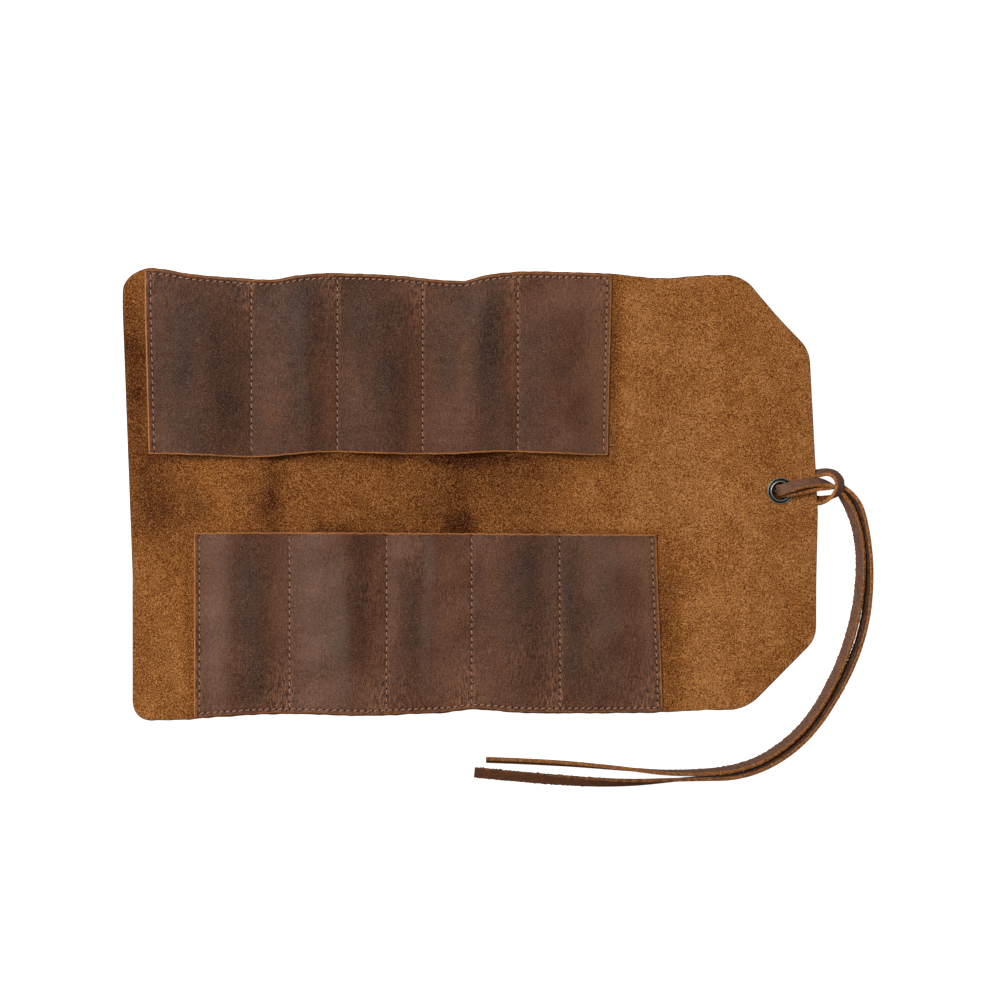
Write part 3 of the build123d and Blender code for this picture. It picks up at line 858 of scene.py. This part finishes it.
def stitching():
    draw = np.random.default_rng(7)
    zones = [([], []) for _ in SEAMED_HINGES]
    for row, start, finish in stitch_holes():
        zone = int(np.searchsorted(ZONE_CUTS, (start[0] + finish[0]) / 2)) - 1
        for under in (False, True):
            plies = stitch_points(row, start, finish, under, draw)
            for ply in plies:
                points, faces = zones[zone]
                faces.extend(tube_faces(len(points) * PLY_SIDES * STITCH_RINGS))
                points.append(ply.reshape(-1, 3))
    for zone, (points, faces) in enumerate(zones):
        points = np.concatenate(points)
        field = [("flat_place", points / MM)]
        name = f"seam_thread_{zone + 1:02d}"
        piece = make_object(name, points, faces, [THREAD], np.zeros(len(faces)), None, field)
        turn_about_hinge(piece)
        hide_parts(f"stitching_{zone + 1:02d}")


# ---- eyelet ------------------------------------------------------------------------------
def turned_ring(name, profile, centre, segments, fields):
    """A solid turned about a vertical line from a closed profile of (radius, height)."""
    radii, heights = np.array(profile).T
    angle = np.linspace(0, 2 * math.pi, segments, endpoint=False)[:, None]
    x = centre[0] + radii * np.cos(angle)
    y = centre[1] + radii * np.sin(angle)
    z = np.broadcast_to(heights, x.shape)
    points = np.stack([x, y, z], -1).reshape(-1, 3) * MM
    count = len(radii)
    index = np.arange(segments * count).reshape(segments, count)
    across = np.roll(index, -1, axis=0)
    faces = np.stack([index, across, np.roll(across, -1, axis=1), np.roll(index, -1, axis=1)], -1)
    faces = faces.reshape(-1, 4)[:, ::-1]
    made = [("flat_place", points / MM)]
    made += [(field, np.tile(values, segments)) for field, values in fields]
    return make_object(name, points, faces, [METAL], np.zeros(len(faces)), None, made)


def arc(centre, radius, start, finish, count):
    turn = np.radians(np.linspace(start, finish, count))
    return [(centre[0] + radius * math.cos(t), centre[1] + radius * math.sin(t)) for t in turn]


def eyelet():
    """A rolled brass eyelet: a raised outer rim, a shallow dish and a rolled lip that turns
    down into the bore."""
    bore = EYELET_BORE_RADIUS
    outer_rim = arc((FLANGE_RADIUS - 0.35, FLAP_TOP + 0.35), 0.35, -90, 130, 8)
    dish = [(6.75, FLAP_TOP + 0.36), (6.4, FLAP_TOP + 0.3), (6.1, FLAP_TOP + 0.36)]
    lip = arc((5.25, FLAP_TOP + 0.28), 0.72, 35, 180, 11)
    barrel = [(bore, FLAP_TOP - 0.8), (bore, EYELET_BOTTOM + 0.2), (bore + 0.15, EYELET_BOTTOM),
              (bore + 0.5, EYELET_BOTTOM), (bore + 0.5, FLAP_TOP)]
    profile = outer_rim + dish + lip + barrel
    radii = np.array(profile)[:, 0]
    heights = np.array(profile)[:, 1]
    near_rim = np.exp(-(((radii - FLANGE_RADIUS + 0.3) / 0.2) ** 2))
    near_lip = np.exp(-(((radii - 5.5) / 0.25) ** 2)) * (heights > FLAP_TOP + 0.5)
    worn = np.clip(near_rim * (heights > FLAP_TOP + 0.1) + near_lip, 0, 1)
    piece = turned_ring("eyelet_ring", profile, (EYELET_X, EYELET_Y), 96, [("worn", worn)])
    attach(piece, "flap")
    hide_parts("eyelet")


def washer():
    """The washer under the flap, with a pressed rim that grips the leather."""
    low, high = node_box("eyelet_washer")
    outer = (high[0] - low[0]) / 2
    inner = EYELET_BORE_RADIUS + 0.55
    profile = [(inner, low[2]), (outer - 1.2, low[2] - 0.05), (outer - 0.4, low[2] + 0.05),
               (outer, low[2] + 0.3), (outer - 0.1, high[2]), (inner, high[2])]
    fields = [("worn", [0.0, 0.0, 0.4, 0.6, 0.3, 0.7])]
    piece = turned_ring("eyelet_back_washer", profile[::-1], (EYELET_X, EYELET_Y), 72, fields)
    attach(piece, "flap")
    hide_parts("eyelet_washer")


# ---- lace --------------------------------------------------------------------------------
LACE_WIDTH = 6.0
LACE_THICKNESS = 2.2
EDGE_FRAY = 0.19
FACE_FRAY = 0.03
GRIME_START = 120
GRIME_END = 250
LACE_FACE = grain("lace_grain_side", paint(104, 76, 62), paint(114, 80, 62), 3)
LACE_BACK = cut_edge("lace_flesh_side", paint(134, 80, 38), paint(74, 40, 18), 1.2)
LACE_EDGE = cut_edge("lace_cut_edge", paint(200, 132, 70), paint(104, 56, 24), 0.9)

# Route points as x, y, z and the tilt of the flat lace about its own line there: 0 lies
# grain side up, 90 and -90 stand on edge.
INNER_TAIL = [
    (207.6, 3.6, 5.6, -84), (214.8, -6.2, 4.0, -52), (220.2, -22.0, 3.3, -46),
    (221.8, -43.0, 3.3, -46), (218.6, -70.0, 3.3, -48), (208.6, -101.0, 3.3, -48),
    (189.2, -134.0, 3.3, -52), (158.6, -155.2, 3.3, -60), (118.0, -158.4, 3.4, -78),
    (84.0, -154.8, 3.4, -100), (44.0, -151.4, 3.3, -110), (9.0, -150.2, 3.3, -110),
]
OUTER_TAIL = [
    (208.8, 5.2, 5.4, -84), (218.8, -1.0, 4.2, -66), (224.2, -20.5, 3.5, -62),
    (226.6, -45.0, 3.3, -62), (223.8, -75.0, 3.3, -58), (212.5, -105.4, 3.3, -56),
    (190.0, -140.2, 3.3, -60), (158.2, -160.0, 3.4, -74), (122.0, -161.0, 3.4, -92),
    (88.0, -163.6, 3.0, -122), (48.0, -161.8, 2.0, -156), (2.4, -157.4, 1.6, -164),
]
UPPER_STRAND = [
    (174.4, 2.2, 2.6, 0), (174.6, 2.3, 8.4, 4), (179.4, 3.6, 9.6, 22),
    (187.2, 6.0, 8.8, 38), (196.5, 7.2, 6.8, 46), (203.0, 6.0, 5.4, 76),
    (207.6, 3.6, 5.6, 96),
]
LOWER_STRAND = [
    (176.9, 1.6, 2.6, 0), (177.1, 1.4, 6.2, 4), (181.4, 1.4, 7.0, 40),
    (189.0, 2.2, 5.8, 70), (197.0, 3.2, 4.4, 88), (203.4, 3.6, 4.2, 94),
    (208.8, 5.2, 5.4, 96),
]
LOOP = [
    (170.5, 4.6, 1.9, 0), (184.0, 7.8, 1.6, 14), (196.5, 12.0, 3.2, 58),
    (203.2, 13.0, 6.6, 62), (207.6, 10.2, 9.4, 44), (209.0, 4.8, 10.4, 34),
    (206.8, -0.2, 8.8, 60), (202.4, -2.6, 5.2, 108), (196.5, -3.8, 2.8, 136),
    (184.0, -2.2, 1.5, 170), (170.5, -1.0, 1.3, 180),
]


def route_line(route):
    """The smooth line of a route, read from a NURBS spline with the route's points as its
    control points, and the tilt along it."""
    curve = bpy.data.curves.new("route", "CURVE")
    curve.dimensions = "3D"
    spline = curve.splines.new("NURBS")
    spline.points.add(len(route) - 1)
    for point, place in zip(spline.points, route):
        point.co = (*[value * MM for value in place[:3]], 1)
    spline.order_u = 3
    spline.use_endpoint_u = True
    spline.resolution_u = 40
    holder = bpy.data.objects.new("route", curve)
    mesh = bpy.data.meshes.new_from_object(holder)
    line = np.array([vertex.co for vertex in mesh.vertices]) / MM
    bpy.data.objects.remove(holder)
    bpy.data.curves.remove(curve)
    bpy.data.meshes.remove(mesh)
    stops, tilts = np.array(route)[:, :3], np.array(route)[:, 3]
    stop_along = [np.argmin(np.linalg.norm(line - stop, axis=1)) for stop in stops]
    tilt = np.interp(np.arange(len(line)), stop_along, tilts)
    window = 31
    kernel = np.hanning(window + 2)[1:-1]
    kernel /= kernel.sum()
    padded = np.concatenate([[tilt[0]] * (window // 2), tilt, [tilt[-1]] * (window // 2)])
    return line, np.convolve(padded, kernel, mode="valid")


def lace_section():
    """The lace's section, going round from the grain face, and the material of each side."""
    half, thick, round_by = LACE_WIDTH / 2, LACE_THICKNESS / 2, 0.3
    across = np.linspace(-half + round_by, half - round_by, 9)
    face = [(x, thick) for x in across]
    right = [(half - 0.08, thick - 0.1), (half, thick - 0.35), (half + 0.05, 0.0), (half, -thick + 0.3)]
    back = [(x, -thick) for x in across[::-1]]
    left = [(-x, -y) for x, y in right]
    return np.array(face + right + back + left), [0] * 8 + [2] * 5 + [1] * 8 + [2] * 5


def lace(name, route, seed, length_step=0.7, painted_face_shade=0.0, end_grime=0.0):
    """A flat strip of leather along a route. A face shade below 0 darkens its grain face as painted shadow,
    and end_grime dulls its edges and flesh side towards the far end."""
    line, tilt = route_line(route)
    along = np.concatenate([[0], np.cumsum(np.linalg.norm(np.diff(line, axis=0), axis=1))])
    stops = np.linspace(0, along[-1], int(along[-1] / length_step) + 1)
    line = np.stack([np.interp(stops, along, line[:, k]) for k in range(3)], axis=1)
    tilt = np.radians(np.interp(stops, along, tilt))
    ahead = np.gradient(line, axis=0)
    ahead /= np.linalg.norm(ahead, axis=1)[:, None]
    level = np.hypot(ahead[:, 0], ahead[:, 1])
    heading = np.unwrap(np.arctan2(ahead[:, 1], ahead[:, 0])[level > 0.35])
    heading = np.interp(stops, stops[level > 0.35], heading)
    side = np.stack([np.sin(heading), -np.cos(heading), np.zeros_like(heading)], axis=1)
    up = np.cross(side, ahead)
    up /= np.linalg.norm(up, axis=1)[:, None]
    across = np.cos(tilt)[:, None] * side + np.sin(tilt)[:, None] * up
    normal = -np.sin(tilt)[:, None] * side + np.cos(tilt)[:, None] * up
    section, side_materials = lace_section()
    count = len(section)
    draw = np.random.default_rng(seed)
    is_edge = np.abs(section[:, 0]) > LACE_WIDTH / 2 - 0.1
    fray = np.where(is_edge, EDGE_FRAY, FACE_FRAY)[None, :] * draw.normal(size=(len(line), count))
    ring = section[None, :, :] + np.stack([fray * np.sign(section[:, 0]), fray * 0.4], -1)
    points = line[:, None, :] + ring[..., :1] * across[:, None, :] + ring[..., 1:] * normal[:, None, :]
    points = points.reshape(-1, 3)
    index = np.arange(len(points)).reshape(len(line), count)
    after = np.roll(index, -1, axis=1)
    quads = np.stack([index[:-1], after[:-1], after[1:], index[1:]], -1).reshape(-1, 4)
    faces = quads.tolist() + [index[0, ::-1].tolist(), index[-1].tolist()]
    face_materials = side_materials * (len(line) - 1) + [2, 2]
    place_along = np.broadcast_to(stops[:, None], index.shape)
    place_across = np.broadcast_to(section[:, 0], index.shape)
    place_up = np.broadcast_to(section[:, 1], index.shape)
    place = np.stack([place_across, place_along, place_up], -1)
    lightly_creased = np.full(len(points), 0.4)
    tone = np.full(len(points), painted_face_shade)
    grimy = end_grime * smoothstep(place_along, GRIME_START, GRIME_END).reshape(-1)
    fields = [("flat_place", place.reshape(-1, 3)), ("crease", lightly_creased), ("tone", tone),
              ("grimy", grimy)]
    materials = [LACE_FACE, LACE_BACK, LACE_EDGE]
    piece = make_object(name, points * MM, faces, materials, face_materials, None, fields)
    return piece, line * MM, along[-1]


def hitched_lace():
    """The loop out of the eyelet, the two strands through it and the two free tails."""
    parts = (
        ("lace_strand_upper", UPPER_STRAND, 41, "lace_strands"),
        ("lace_strand_lower", LOWER_STRAND, 42, "lace_strands"),
        ("lace_loop", LOOP, 43, "lace_bight"),
    )
    for name, route, seed, node in parts:
        piece = lace(name, route, seed, 0.5)[0]
        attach(piece, "flap")
        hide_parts(node)
    # The outer tail's grain face is darkened as painted shadow beside the inner tail.
    tails = (("inner", INNER_TAIL, 44, 0.0, 0.5), ("outer", OUTER_TAIL, 45, -0.6, 0.9))
    for name, route, seed, painted_face_shade, end_grime in tails:
        whole = f"lace_free_tail_{name}"
        piece, line, length = lace(whole, route, seed, painted_face_shade=painted_face_shade, end_grime=end_grime)
        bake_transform(piece)
        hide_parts(f"lace_tail_{name}")


# ---- stage, camera and light -------------------------------------------------------------
VIEW_WIDTH = 567.3
CAMERA_HEIGHT = 1600.0
CAMERA_OVER = (17.0, -3.1)
FLOOR_HALF = 4.0
FLOOR_DROP = 0.0006
LIGHT_FROM_BELOW = 0.2
LIGHT_FROM_ABOVE = 0.55
SOFTBOX_SIZE = 1.4
SOFTBOX_POWER = 95
SOFTBOX_AWAY = 1.9
SOFTBOX_HEIGHT = 2.3
SOFTBOX_TURN = math.radians(145)


def camera():
    data = bpy.data.cameras.new("camera")
    data.sensor_width = 36.0
    data.lens = data.sensor_width * CAMERA_HEIGHT / VIEW_WIDTH
    made = bpy.data.objects.new("camera", data)
    made.location = (CAMERA_OVER[0] * MM, CAMERA_OVER[1] * MM, CAMERA_HEIGHT * MM)
    link(made)
    bpy.context.scene.camera = made


def floor():
    """A plain white floor, kept out of bounce light and reflections, so it neither lights
    the case nor shows in the metal."""
    made = Shader("white_paper", 0.9, 0.1)
    made.surface.inputs["Base Color"].default_value = (0.3, 0.3, 0.3, 1)
    made.surface.inputs["Emission Color"].default_value = (1, 1, 1, 1)
    made.surface.inputs["Emission Strength"].default_value = 1.0
    mesh = bpy.data.meshes.new("floor")
    signs = ((-1, -1), (1, -1), (1, 1), (-1, 1))
    corners = [(x * FLOOR_HALF, y * FLOOR_HALF, -FLOOR_DROP) for x, y in signs]
    mesh.from_pydata(corners, [], [(0, 1, 2, 3)])
    mesh.materials.append(made.material)
    made = bpy.data.objects.new("floor", mesh)
    made.visible_diffuse = False
    made.visible_glossy = False
    link(made)


def lights():
    world = bpy.data.worlds.new("studio")
    world.use_nodes = True
    nodes, links = world.node_tree.nodes, world.node_tree.links
    background = nodes["Background"]
    background.inputs["Color"].default_value = (1, 1, 1, 1)
    direction = nodes.new("ShaderNodeTexCoord")
    parts = nodes.new("ShaderNodeSeparateXYZ")
    strength = nodes.new("ShaderNodeMapRange")
    levels = {"From Min": -0.05, "From Max": 0.05, "To Min": LIGHT_FROM_BELOW, "To Max": LIGHT_FROM_ABOVE}
    for key, value in levels.items():
        strength.inputs[key].default_value = value
    links.new(direction.outputs["Generated"], parts.inputs[0])
    links.new(parts.outputs["Z"], strength.inputs["Value"])
    links.new(strength.outputs[0], background.inputs["Strength"])
    bpy.context.scene.world = world
    data = bpy.data.lights.new("softbox", "AREA")
    data.shape = "SQUARE"
    data.size = SOFTBOX_SIZE
    data.energy = SOFTBOX_POWER
    made = bpy.data.objects.new("softbox", data)
    x = SOFTBOX_AWAY * math.cos(SOFTBOX_TURN)
    y = SOFTBOX_AWAY * math.sin(SOFTBOX_TURN)
    made.location = (x, y, SOFTBOX_HEIGHT)
    made.rotation_mode = "QUATERNION"
    made.rotation_quaternion = (-made.location).to_track_quat("-Z", "Y")
    link(made)
    bpy.context.scene.view_settings.view_transform = "Standard"


camera()
hitched_lace()
for number in range(len(HINGES)):
    backing_zone(number)
for pockets in (UPPER, LOWER):
    pocket_row(pockets)
stitching()
eyelet()
washer()
floor()
lights()
